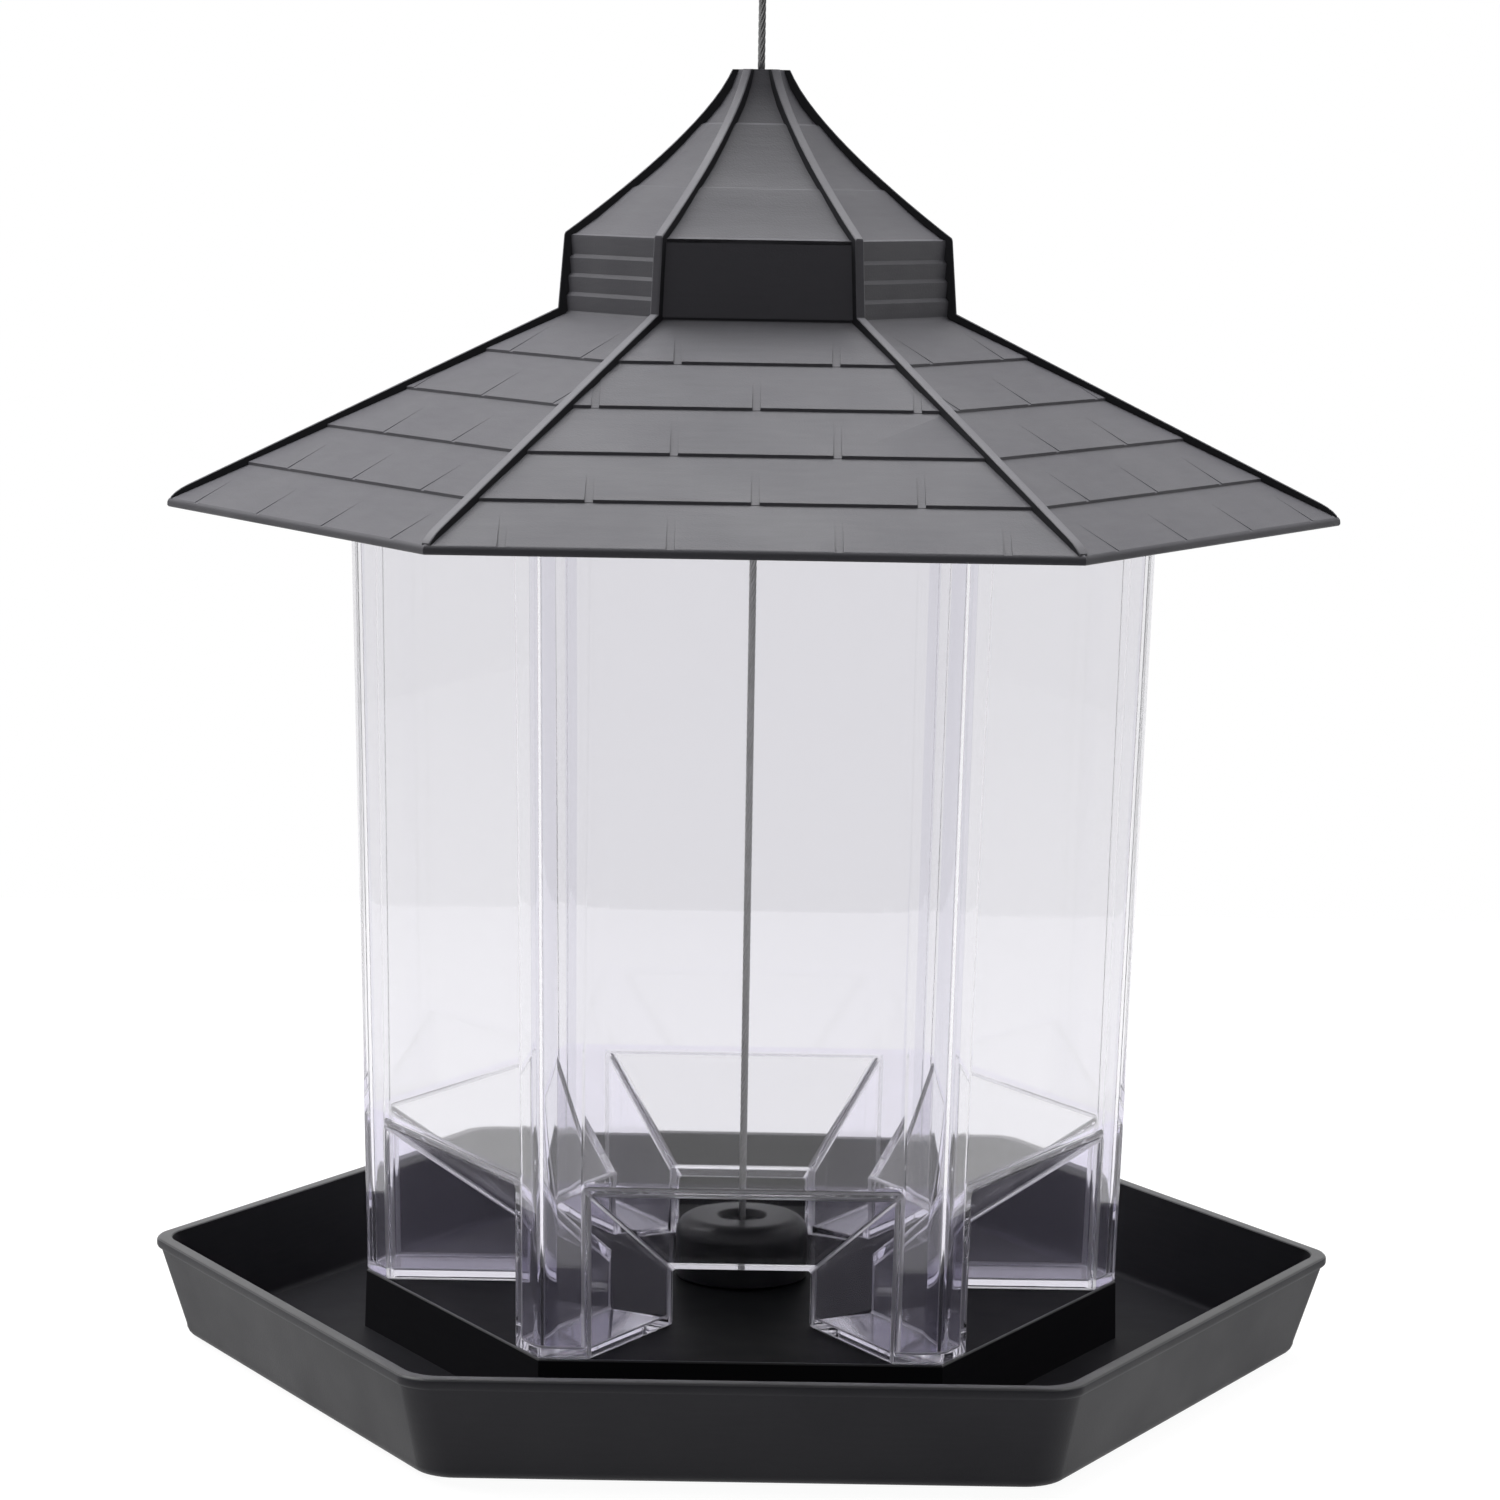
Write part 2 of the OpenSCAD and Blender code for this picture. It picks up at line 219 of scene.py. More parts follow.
def placeNode(tree, kind, x, y, **values):
    node = tree.nodes.new(kind)
    node.location = (x, y)
    for name, value in values.items():
        node.inputs[name.replace("_", " ")].default_value = value
    return node


def newGroup(name, inputs, outputs):
    group = bpy.data.node_groups.new(name, "ShaderNodeTree")
    for label, value in inputs:
        socket = group.interface.new_socket(label, in_out="INPUT", socket_type="NodeSocketFloat")
        socket.default_value = value
    for label in outputs:
        group.interface.new_socket(label, in_out="OUTPUT", socket_type="NodeSocketFloat")
    return group, group.nodes.new("NodeGroupInput"), group.nodes.new("NodeGroupOutput")


# Fine pebbled grain of a steel mould, with broad cloudy flow marks and fine level streaks
def buildMouldGrain():
    group, given, made = newGroup(
        "mouldGrain",
        [("Grain Scale", 2200.0), ("Cloud Scale", 28.0), ("Rough Low", 0.5), ("Rough High", 0.65)],
        ["Height", "Tone", "Roughness"],
    )
    links = group.links
    place = group.nodes.new("ShaderNodeTexCoord")
    grain = placeNode(group, "ShaderNodeTexNoise", 0, 200, Detail=3.0, Roughness=0.55)
    cloud = placeNode(group, "ShaderNodeTexNoise", 0, -100, Detail=4.0, Roughness=0.6)
    stretch = placeNode(group, "ShaderNodeMapping", -200, -400, Scale=(130.0, 130.0, 1500.0))
    streak = placeNode(group, "ShaderNodeTexNoise", 0, -400, Scale=1.0, Detail=2.0)
    tone = placeNode(group, "ShaderNodeMix", 200, -200, Factor=0.5)
    rough = group.nodes.new("ShaderNodeMapRange")
    links.new(place.outputs["Object"], stretch.inputs["Vector"])
    links.new(stretch.outputs["Vector"], streak.inputs["Vector"])
    links.new(cloud.outputs["Fac"], tone.inputs["A"])
    links.new(streak.outputs["Fac"], tone.inputs["B"])
    links.new(place.outputs["Object"], grain.inputs["Vector"])
    links.new(place.outputs["Object"], cloud.inputs["Vector"])
    links.new(given.outputs["Grain Scale"], grain.inputs["Scale"])
    links.new(given.outputs["Cloud Scale"], cloud.inputs["Scale"])
    links.new(cloud.outputs["Fac"], rough.inputs["Value"])
    rough.inputs["From Min"].default_value = 0.3
    rough.inputs["From Max"].default_value = 0.7
    links.new(given.outputs["Rough Low"], rough.inputs["To Min"])
    links.new(given.outputs["Rough High"], rough.inputs["To Max"])
    links.new(grain.outputs["Fac"], made.inputs["Height"])
    links.new(tone.outputs["Result"], made.inputs["Tone"])
    links.new(rough.outputs["Result"], made.inputs["Roughness"])
    return group


mouldGrain = buildMouldGrain()


def startMaterial(name):
    material = bpy.data.materials.new(name)
    material.use_nodes = True
    tree = material.node_tree
    tree.nodes.clear()
    shader = placeNode(tree, "ShaderNodeBsdfPrincipled", 300, 0)
    output = placeNode(tree, "ShaderNodeOutputMaterial", 600, 0)
    tree.links.new(shader.outputs["BSDF"], output.inputs["Surface"])
    return material, tree, shader, output


def addGrain(tree, shader, look):
    grain = tree.nodes.new("ShaderNodeGroup")
    grain.node_tree = mouldGrain
    grain.location = (-500, -100)
    grain.inputs["Grain Scale"].default_value = look["grainScale"]
    grain.inputs["Cloud Scale"].default_value = look["cloudScale"]
    grain.inputs["Rough Low"].default_value = look["rough"][0]
    grain.inputs["Rough High"].default_value = look["rough"][1]
    bump = placeNode(tree, "ShaderNodeBump", 0, -250, Strength=look["bump"], Distance=look["grainDepth"])
    tree.links.new(grain.outputs["Height"], bump.inputs["Height"])
    tree.links.new(bump.outputs["Normal"], shader.inputs["Normal"])
    tree.links.new(grain.outputs["Roughness"], shader.inputs["Roughness"])
    return grain


def mouldedPlastic(name, look):
    material, tree, shader = startMaterial(name)[:3]
    grain = addGrain(tree, shader, look)
    tone = tree.nodes.new("ShaderNodeMix")
    tone.data_type = "RGBA"
    tone.location = (0, 150)
    tone.inputs["A"].default_value = (*look["dark"], 1)
    tone.inputs["B"].default_value = (*look["light"], 1)
    tree.links.new(grain.outputs["Tone"], tone.inputs["Factor"])
    tree.links.new(tone.outputs["Result"], shader.inputs["Base Color"])
    shader.inputs["IOR"].default_value = 1.5
    shader.inputs["Specular IOR Level"].default_value = look["shine"]
    return material


roofLook = {
    "dark": (0.07, 0.0685, 0.079), "light": (0.112, 0.1095, 0.125), "rough": (0.5, 0.64), "shine": 0.35,
    "grainScale": 2600.0, "cloudScale": 30.0, "bump": 0.25, "grainDepth": 0.0002,
}
# Painted shade: a darker tone for the hip ribs' side walls, where shade falls beside the raised ribs
roofPaintedShadeLook = {
    "dark": (0.022, 0.022, 0.026), "light": (0.03, 0.03, 0.034), "rough": (0.5, 0.64), "shine": 0.2,
    "grainScale": 2600.0, "cloudScale": 30.0, "bump": 0.2, "grainDepth": 0.0002,
}
# Painted highlight: a lighter tone for the hip ribs' tops, where light catches them
ribPaintedHighlightLook = {
    "dark": (0.134, 0.131, 0.147), "light": (0.158, 0.155, 0.173), "rough": (0.46, 0.6), "shine": 0.35,
    "grainScale": 2600.0, "cloudScale": 60.0, "bump": 0.2, "grainDepth": 0.0002,
}
# Painted light: a lighter tone for the lantern's front panel, brightening a face that the lamps hardly reach
panelPaintedLightLook = {
    "dark": (0.095, 0.093, 0.106), "light": (0.114, 0.111, 0.126), "rough": (0.5, 0.64), "shine": 0.25,
    "grainScale": 2600.0, "cloudScale": 30.0, "bump": 0.2, "grainDepth": 0.0002,
}
trayLook = {
    "dark": (0.042, 0.041, 0.048), "light": (0.052, 0.051, 0.06), "rough": (0.45, 0.58), "shine": 0.25,
    "grainScale": 2400.0, "cloudScale": 26.0, "bump": 0.2, "grainDepth": 0.0002,
}
# Painted shade: the tray's trough is darker than its outside, where shade falls inside it
trayInsidePaintedShadeLook = {
    "dark": (0.021, 0.0205, 0.024), "light": (0.031, 0.0305, 0.035), "rough": (0.42, 0.52), "shine": 0.03,
    "grainScale": 900.0, "cloudScale": 40.0, "bump": 0.06, "grainDepth": 0.0002,
}
# Painted shade: a near-black tone for the raised centre's top, which lies in the roof's shadow
trayCentrePaintedShadeLook = {
    "dark": (0.007, 0.007, 0.008), "light": (0.01, 0.01, 0.011), "rough": (0.42, 0.52), "shine": 0.02,
    "grainScale": 900.0, "cloudScale": 40.0, "bump": 0.01, "grainDepth": 0.0002,
}
# Painted highlight: a lighter tone on the rim's top and the raised centre's rounded edge, as lines of light
trayPaintedHighlightLook = {
    "dark": (0.07, 0.07, 0.075), "light": (0.1, 0.1, 0.105), "rough": (0.38, 0.48), "shine": 0.4,
    "grainScale": 2000.0, "cloudScale": 60.0, "bump": 0.1, "grainDepth": 0.0002,
}
knobLook = {
    "dark": (0.01, 0.01, 0.012), "light": (0.015, 0.015, 0.017), "rough": (0.34, 0.45), "shine": 0.35,
    "grainScale": 2000.0, "cloudScale": 60.0, "bump": 0.12, "grainDepth": 0.0002,
}
roofPlastic = mouldedPlastic("roofPlastic", roofLook)
roofShade = mouldedPlastic("roofShade", roofPaintedShadeLook)
ribPlastic = mouldedPlastic("ribPlastic", ribPaintedHighlightLook)
panelPlastic = mouldedPlastic("panelPlastic", panelPaintedLightLook)
trayPlastic = mouldedPlastic("trayPlastic", trayLook)
trayInside = mouldedPlastic("trayInside", trayInsidePaintedShadeLook)
trayCentre = mouldedPlastic("trayCentre", trayCentrePaintedShadeLook)
trayEdge = mouldedPlastic("trayEdge", trayPaintedHighlightLook)
knobPlastic = mouldedPlastic("knobPlastic", knobLook)

clearLook = {"colour": (0.849, 0.844, 0.869), "through": 0.985, "ior": 1.5, "rough": 0.02,
             "waveScale": 14.0, "waveDepth": 0.0006, "wave": 0.12}
# Painted highlight: the hopper's rounded edges are whiter and partly frosted, to shine as edges that carry
# light
edgePaintedHighlightLook = {"colour": (0.97, 0.96, 1.0), "through": 0.72, "ior": 1.5, "rough": 0.08,
            "waveScale": 90.0, "waveDepth": 0.0002, "wave": 0.1}
# Painted shade: a darker violet tint for the hopper's inside corners, for the dark bands that refraction
# shows there
cornerPaintedShadeLook = {"colour": (0.7, 0.69, 0.77), "through": 0.97, "ior": 1.5, "rough": 0.05,
              "waveScale": 40.0, "waveDepth": 0.0003, "wave": 0.12}
portLook = {"colour": (0.855, 0.837, 0.915), "through": 0.95, "ior": 1.5, "rough": 0.02,
            "waveScale": 60.0, "waveDepth": 0.0003, "wave": 0.12}


# Clear polished moulding with slow waves in its surface. Lamps shine through it
def buildClearPlastic(name, look):
    material, tree, shader, output = startMaterial(name)
    shader.inputs["Base Color"].default_value = (*look["colour"], 1)
    shader.inputs["Transmission Weight"].default_value = look["through"]
    shader.inputs["IOR"].default_value = look["ior"]
    shader.inputs["Roughness"].default_value = look["rough"]
    place = placeNode(tree, "ShaderNodeTexCoord", -600, -200)
    wave = placeNode(tree, "ShaderNodeTexNoise", -300, -200, Scale=look["waveScale"], Detail=1.0)
    bump = placeNode(tree, "ShaderNodeBump", 0, -200, Strength=look["wave"], Distance=look["waveDepth"])
    tree.links.new(place.outputs["Object"], wave.inputs["Vector"])
    tree.links.new(wave.outputs["Fac"], bump.inputs["Height"])
    tree.links.new(bump.outputs["Normal"], shader.inputs["Normal"])
    through = placeNode(tree, "ShaderNodeBsdfTransparent", 300, 200)
    through.inputs["Color"].default_value = (*look["colour"], 1)
    path = placeNode(tree, "ShaderNodeLightPath", 300, 500)
    either = placeNode(tree, "ShaderNodeMixShader", 450, 100)
    tree.links.new(path.outputs["Is Shadow Ray"], either.inputs["Fac"])
    tree.links.new(shader.outputs["BSDF"], either.inputs[1])
    tree.links.new(through.outputs["BSDF"], either.inputs[2])
    tree.links.new(either.outputs["Shader"], output.inputs["Surface"])
    return material


clearPlastic = buildClearPlastic("clearPlastic", clearLook)
clearEdge = buildClearPlastic("clearEdge", edgePaintedHighlightLook)
clearCorner = buildClearPlastic("clearCorner", cornerPaintedShadeLook)
clearPort = buildClearPlastic("clearPort", portLook)


# Drawn or pressed metal, dull in patches
def dullMetal(name, look):
    material, tree, shader = startMaterial(name)[:3]
    addGrain(tree, shader, look)
    shader.inputs["Base Color"].default_value = (*look["colour"], 1)
    shader.inputs["Metallic"].default_value = 1.0
    return material


cableLook = {
    "colour": (0.24, 0.24, 0.24), "rough": (0.34, 0.5),
    "grainScale": 5000.0, "cloudScale": 260.0, "bump": 0.15, "grainDepth": 0.0001,
}
crimpLook = {
    "colour": (0.62, 0.62, 0.63), "rough": (0.3, 0.5),
    "grainScale": 3000.0, "cloudScale": 300.0, "bump": 0.2, "grainDepth": 0.0001,
}
cableSteel = dullMetal("cableSteel", cableLook)
crimpAlloy = dullMetal("crimpAlloy", crimpLook)
print("materials ready")


# Camera, solved from the photo's corners for an image of 1500 by 1500
cameraView = {
    "lens": 104.5, "sensor": 36.0, "target": (0, 0, 0.1226), "distance": 0.879,
    "elevation": 7.5, "azimuth": -0.13, "roll": 0.96,
}


def buildCamera(view):
    turn, tilt, roll = (math.radians(view[k]) for k in ("azimuth", "elevation", "roll"))
    back = Vector((math.sin(turn) * math.cos(tilt), -math.cos(turn) * math.cos(tilt), math.sin(tilt)))
    right = (-back).cross(Vector((0, 0, 1))).normalized()
    up = right.cross(-back)
    across = right * math.cos(roll) + up * math.sin(roll)
    upright = up * math.cos(roll) - right * math.sin(roll)
    place = Matrix((across, upright, back)).transposed().to_4x4()
    place.translation = Vector(view["target"]) + back * view["distance"]
    bpy.ops.object.camera_add()
    camera = bpy.context.object
    camera.name = "photoCamera"
    camera.matrix_world = place
    camera.data.lens = view["lens"]
    camera.data.sensor_width = view["sensor"]
    camera.data.clip_start = 0.01
    camera.data.clip_end = 50
    scene.camera = camera


buildCamera(cameraView)

# The cable's route, as (x, z) in millimetres: up the axis, round the hanging eye and back into its sleeve
cableRoute = [
    (0, 18.5), (0, 50), (0, 80), (0, 110), (0, 140), (0, 170), (0, 200), (0, 230), (0, 260), (0, 290),
    (0, 302), (0, 312), (-0.6, 315.5), (-2.4, 318.5), (-4.6, 320.5), (-6.8, 322.5), (-8.5, 325.5),
    (-9.2, 329), (-8.6, 332.4), (-6.8, 335.4), (-4.1, 337.7), (-0.8, 338.8), (2.6, 338.8), (5.9, 337.7),
    (8.6, 335.4), (10.4, 332.4), (11, 329), (10.3, 325.5), (8.6, 322.5), (6.4, 320.5), (4.2, 318.5),
    (2.4, 315.5), (1.8, 312), (1.8, 306), (1.8, 301),
]
cableMake = {"diameter": 1.5 * mm, "wires": 6, "lay": 9.5 * mm, "step": 0.5 * mm, "lobePoints": 6}


# Points at an even step along a smooth curve through the route
def smoothRoute(route, step):
    points = [Vector((x * mm, 0, z * mm)) for x, z in route]
    dense = []
    for i in range(len(points) - 1):
        a, b = points[max(i - 1, 0)], points[i]
        c, d = points[i + 1], points[min(i + 2, len(points) - 1)]
        count = max(2, math.ceil((c - b).length / (step / 4)))
        for k in range(count):
            t = k / count
            curve = 2 * b + (c - a) * t + (2 * a - 5 * b + 4 * c - d) * t ** 2
            dense.append((curve + (3 * b - a - 3 * c + d) * t ** 3) / 2)
    dense.append(points[-1])
    even, walked = [dense[0]], 0.0
    for before, here in zip(dense, dense[1:]):
        walked += (here - before).length
        if walked >= step * len(even):
            even.append(here)
    return even


# One twisted strand: wires of a third of its width round a core, swept along the route
def buildCable(make):
    path = smoothRoute(cableRoute, make["step"])
    wire = make["diameter"] / 6
    sector = 360 / make["wires"]
    ring = []
    for k in range(make["wires"]):
        for j in range(make["lobePoints"]):
            across = math.radians(-sector / 2 + sector * (j + 0.5) / make["lobePoints"])
            middle = 2 * math.pi * k / make["wires"]
            reach = 2 * wire * math.cos(across)
            reach += math.sqrt(max(0, wire ** 2 - (2 * wire * math.sin(across)) ** 2))
            ring.append((reach * math.cos(middle + across), reach * math.sin(middle + across)))
    section = bpy.data.curves.new("strandSection", "CURVE")
    outline = section.splines.new("POLY")
    outline.points.add(len(ring) - 1)
    outline.use_cyclic_u = True
    for point, (x, y) in zip(outline.points, ring):
        point.co = (x, y, 0, 1)
    sectionObject = bpy.data.objects.new("strandSection", section)
    scene.collection.objects.link(sectionObject)
    line = bpy.data.curves.new("cableStrand", "CURVE")
    line.dimensions = "3D"
    line.twist_mode = "MINIMUM"
    line.bevel_mode = "OBJECT"
    line.bevel_object = sectionObject
    line.use_fill_caps = True
    spline = line.splines.new("POLY")
    spline.points.add(len(path) - 1)
    for k, (point, place) in enumerate(zip(spline.points, path)):
        point.co = (*place, 1)
        point.tilt = 2 * math.pi * k * make["step"] / make["lay"]
    cable = bpy.data.objects.new("cableStrand", line)
    scene.collection.objects.link(cable)
    activate(cable)
    bpy.ops.object.convert(target="MESH")
    cable = newPiece("cableStrand")
    bpy.data.objects.remove(sectionObject)
    startEdit(cable)
    cleanSkin()
    endEdit()
    smooth(cable, 60)
    return cable, path


cable, cablePath = buildCable(cableMake)
wear(cable, cableSteel)
finishPiece(cable, "cable", "cable_steel", "cable")


# Crimped sleeve of the hanging eye: an oval tube round both runs of the cable, pressed in two bands
sleeveMake = {"wall": 1.1 * mm, "bore": 0.8 * mm, "tail": 1.8 * mm, "low": 302 * mm, "high": 312 * mm,
              "bands": (3.2 * mm, 6.8 * mm), "bandEnds": (-1.2 * mm, -0.8 * mm, 0.8 * mm, 1.2 * mm),
              "press": 0.9, "edge": 0.2 * mm, "drill": 50 * mm}


def buildSleeve(make):
    reach = make["wall"] + make["bore"]
    bpy.ops.object.select_all(action="DESELECT")
    foot = (0, 0, make["low"])
    bpy.ops.mesh.primitive_circle_add(vertices=40, radius=reach, fill_type="NGON", location=foot)
    sleeve = newPiece("eyeSleeve")
    bpy.ops.object.transform_apply(location=True, rotation=False, scale=False)
    startEdit(sleeve)
    pick(sleeve, "VERT", lambda v: v.co.x > 0)
    bpy.ops.transform.translate(value=(make["tail"], 0, 0))
    levels = [make["low"]]
    for band in make["bands"]:
        levels += [make["low"] + band + end for end in make["bandEnds"]]
    levels.append(make["high"])
    bpy.ops.mesh.select_all(action="SELECT")
    for below, here in zip(levels, levels[1:]):
        bpy.ops.mesh.extrude_region_move(TRANSFORM_OT_translate={"value": (0, 0, here - below)})
    middle = Vector((make["tail"] / 2, 0, 0))
    pressed = sum(make["bandEnds"][2:]) / 2
    for band in make["bands"]:
        z = make["low"] + band
        pick(sleeve, "VERT", lambda v: abs(v.co.z - z) < pressed)
        bpy.ops.transform.resize(value=(make["press"], make["press"], 1), center_override=middle)
    cleanSkin()
    endEdit()
    for x in (0, make["tail"]):
        drillBore(sleeve, make["bore"], make["low"], make["drill"], x)
    roundEdges(sleeve, make["edge"], 2, 40)
    smooth(sleeve, 40)
    return sleeve


sleeve = buildSleeve(sleeveMake)
wear(sleeve, crimpAlloy)
finishPiece(sleeve, "cable", "crimp_alloy", "eye_ferrule")
for name, metal in (("stop_ferrule", crimpAlloy), ("stop_washer", cableSteel)):
    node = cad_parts[name]
    node.material_slots[0].material = metal


# Roof: one face of the hexagon is drawn, turned a sixth, cut with its shingle joints and copied round
roofMake = {
    "eaveR": 117.6 * mm, "slope": 26.3, "wall": 2 * mm, "eaveRound": 1.2 * mm, "eaveEdge": 1.5 * mm,
    "courses": 5, "courseStep": 0.6 * mm, "tile": 30 * mm, "slot": 1.5 * mm, "slotRun": 0.7,
    "frontJoint": 0.5 * mm, "sideJoint": 0.16 * mm,
    "lanternR": 38.8 * mm, "lanternH": 15 * mm, "lanternDraft": 1.1 * mm, "slats": 4, "slatStep": 0.5 * mm,
    "slatBody": 0.8, "spireH": 33 * mm, "tipR": 5 * mm, "sweep": 1.35, "tierEnds": (0, 0.29, 0.67, 1),
    "tierStep": 0.9 * mm, "tierBevel": 0.35 * mm, "tierParts": 3,
    "spireWall": 3.4 * mm, "tipH": 7 * mm, "ribW": 2 * mm, "ribH": 0.9 * mm, "ribRound": 0.35 * mm,
    "mouthZ": 185 * mm, "seatR": 83.4 * mm, "seatPad": 1 * mm,
    "skirtR": 78.36 * mm, "skirtDrop": 5 * mm, "skirtWall": 1.85 * mm, "bore": 1.35 * mm,
    "edge": 0.14 * mm, "eaveUnder": 3 * mm, "eaveChamfer": 0.3 * mm, "panelSink": 0.3 * mm,
    "ribNose": ((0, 0.15), (0.8 * mm, 0.6), (2 * mm, 0.9), (3.4 * mm, 1)), "ribBack": 0.4,
    "ribOut": 0.8, "ribUp": 0.6, "ribSink": 0.8 * mm, "ribParts": 15,
}
roofSkins = {"slope": roofPlastic, "shade": roofShade, "rib": ribPlastic, "panel": panelPlastic}


def roofLevels(make):
    rise = math.tan(math.radians(make["slope"]))
    wallV = make["wall"] * math.sqrt(1 + (rise / cos30) ** 2)
    eaveTop = make["mouthZ"] + make["seatPad"] + wallV - (make["eaveR"] - make["seatR"]) * rise
    lanternZ = eaveTop + (make["eaveR"] - make["lanternR"]) * rise
    lanternTop = lanternZ + make["lanternH"]
    return {"rise": rise, "wallV": wallV, "eaveTop": eaveTop, "lanternZ": lanternZ, "lanternTop": lanternTop,
            "tipZ": lanternTop + make["spireH"], "lanternTopR": make["lanternR"] - make["lanternDraft"]}


def slopeZ(make, level, r):
    return level["eaveTop"] + (make["eaveR"] - r) * level["rise"]


def spireR(make, level, t):
    return make["tipR"] + (level["lanternTopR"] - make["tipR"]) * max(0, 1 - t) ** make["sweep"]


def courseRadii(make):
    run = (make["eaveR"] - make["lanternR"]) / make["courses"]
    return [make["eaveR"] - k * run for k in range(make["courses"] + 1)]


def roofOutline(make, level):
    radii = courseRadii(make)
    soft = make["eaveRound"]
    bend = 90 - make["slope"]
    eaveCentre = (make["eaveR"] - soft, level["eaveTop"] - soft * math.tan(math.radians(bend / 2)))
    outer = arc(eaveCentre, soft, 0, bend, 4)
    outer[-1] = (outer[-1][0], slopeZ(make, level, outer[-1][0]))
    for k in range(make["courses"]):
        if k:
            outer.append((radii[k], slopeZ(make, level, radii[k])))
        outer.append((radii[k + 1], slopeZ(make, level, radii[k + 1]) - make["courseStep"]))
    for k in range(make["slats"]):
        for up in (0, make["slatBody"]):
            t = (k + up) / make["slats"]
            r = make["lanternR"] - make["lanternDraft"] * t - (0 if up else make["slatStep"])
            outer.append((r, level["lanternZ"] + t * make["lanternH"]))
    outer.append((level["lanternTopR"], level["lanternTop"]))
    for low, high in zip(make["tierEnds"], make["tierEnds"][1:]):
        for j in range(make["tierParts"] + 1):
            up = j / make["tierParts"]
            t = low + (high - low) * up
            z = level["lanternTop"] + t * make["spireH"] + (0 if j else make["tierBevel"])
            outer.append((spireR(make, level, t) - make["tierStep"] * (1 - up), z))
    hollow = 1 - make["tipH"] / make["spireH"]
    inner = [(0, level["tipZ"]), (0, level["lanternTop"] + hollow * make["spireH"])]
    for k in range(make["tierParts"] + 1):
        t = hollow * (1 - k / make["tierParts"])
        inner.append((spireR(make, level, t) - make["spireWall"], level["lanternTop"] + t * make["spireH"]))
    lanternIn = level["lanternTopR"] - make["wall"] / cos30 - make["slatStep"]
    skirtIn = make["skirtR"] - make["skirtWall"]
    underR = make["eaveR"] - make["eaveUnder"]
    inner += [
        (lanternIn, level["lanternTop"] - make["wall"]),
        (lanternIn, slopeZ(make, level, lanternIn) - level["wallV"]),
        (skirtIn, slopeZ(make, level, skirtIn) - level["wallV"]),
        (skirtIn, make["mouthZ"] - make["skirtDrop"]),
        (make["skirtR"], make["mouthZ"] - make["skirtDrop"]),
        (make["skirtR"], make["mouthZ"]),
        (make["seatR"], make["mouthZ"]),
        (make["seatR"], make["mouthZ"] + make["seatPad"]),
        (underR, slopeZ(make, level, underR) - level["wallV"]),
        (make["eaveR"] - make["eaveChamfer"], level["eaveTop"] - make["eaveEdge"]),
        (make["eaveR"], level["eaveTop"] - make["eaveEdge"] + make["eaveChamfer"]),
    ]
    return outer + inner


# Cuts the upright joints of one course, as slots that run out towards the course's top
def cutJoints(face, make, level, k, depth):
    radii = courseRadii(make)
    low, high = radii[k] * cos30, radii[k + 1] * cos30
    runOut = low + (high - low) * make["slotRun"]
    half = make["slot"] / 2
    shift = 0.5 if k % 2 == 0 else 0.0
    reach = radii[k] / 2 - make["ribW"]
    places = [make["tile"] * (n + shift) for n in range(-3, 4)]
    slack = {"top": 0.3 * mm, "foot": 0.2 * mm, "skin": 1.2 * mm, "touch": 0.02 * mm}

    def onCourse(f):
        c = f.calc_center_median()
        inRun = high + slack["top"] < -c.y < low + slack["foot"]
        onTop = c.z > slopeZ(make, level, -c.y / cos30) - slack["skin"]
        return inRun and onTop and f.normal.z > -0.2

    def inSlot(f):
        c = f.calc_center_median()
        riser = k > 0 and abs(f.normal.z) < 0.2
        return onCourse(f) and abs(c.x - x) < half and (riser or f.normal.z > 0.7) and -c.y > runOut

    def lowerEnd(v):
        return abs(v.co.z - slopeZ(make, level, -v.co.y / cos30)) < slack["touch"]

    for x in [p for p in places if abs(p) < reach]:
        for edge in (x - half, x + half):
            pick(face, "FACE", onCourse)
            bpy.ops.mesh.bisect(plane_co=(edge, 0, 0), plane_no=(1, 0, 0))
        pick(face, "FACE", lambda f: onCourse(f) and abs(f.calc_center_median().x - x) < half)
        bpy.ops.mesh.bisect(plane_co=(0, -runOut, 0), plane_no=(0, 1, 0))
        pick(face, "FACE", inSlot)
        bpy.ops.mesh.extrude_region_move(TRANSFORM_OT_translate={"value": (0, 0, 0)})
        pick(face, "VERT", lowerEnd, True)
        bpy.ops.transform.translate(value=(0, 0, -depth))


# A hip rib seen from its side, from the eave's nose up to the tip and back inside the roof
def ribOutline(make, level):
    rise = make["ribH"] / math.cos(math.radians(make["slope"]))
    nose = make["eaveR"] - make["ribBack"] * make["ribW"]
    noseZ = level["eaveTop"] - level["wallV"] / 2
    valley = make["lanternR"] + make["ribH"]
    out, up = make["ribOut"] * make["ribH"], make["ribUp"] * make["ribH"]
    sink = make["ribSink"]
    climb = [k / make["ribParts"] for k in range(make["ribParts"])]
    inside = sink + make["slatStep"]
    spire = [(spireR(make, level, t), level["lanternTop"] + t * make["spireH"]) for t in climb]
    top = [(nose, noseZ)]
    for back, lift in make["ribNose"]:
        top.append((nose - back, slopeZ(make, level, nose - back) + lift * rise))
    top += [(valley, slopeZ(make, level, valley) + rise)]
    top += [(level["lanternTopR"] + make["ribH"], level["lanternTop"])]
    top += [(r + out, z + up) for r, z in spire]
    top += [(make["tipR"] + out, level["tipZ"]), (make["tipR"] - 2 * sink, level["tipZ"])]
    under = [(r - 2 * sink, z - sink) for r, z in spire[::-1]]
    under += [(level["lanternTopR"] - inside, level["lanternTop"] - sink)]
    under += [(make["lanternR"] - inside, level["lanternZ"] - sink)]
    under += [(nose - 2 * sink, noseZ)]
    return top + under, len(top)


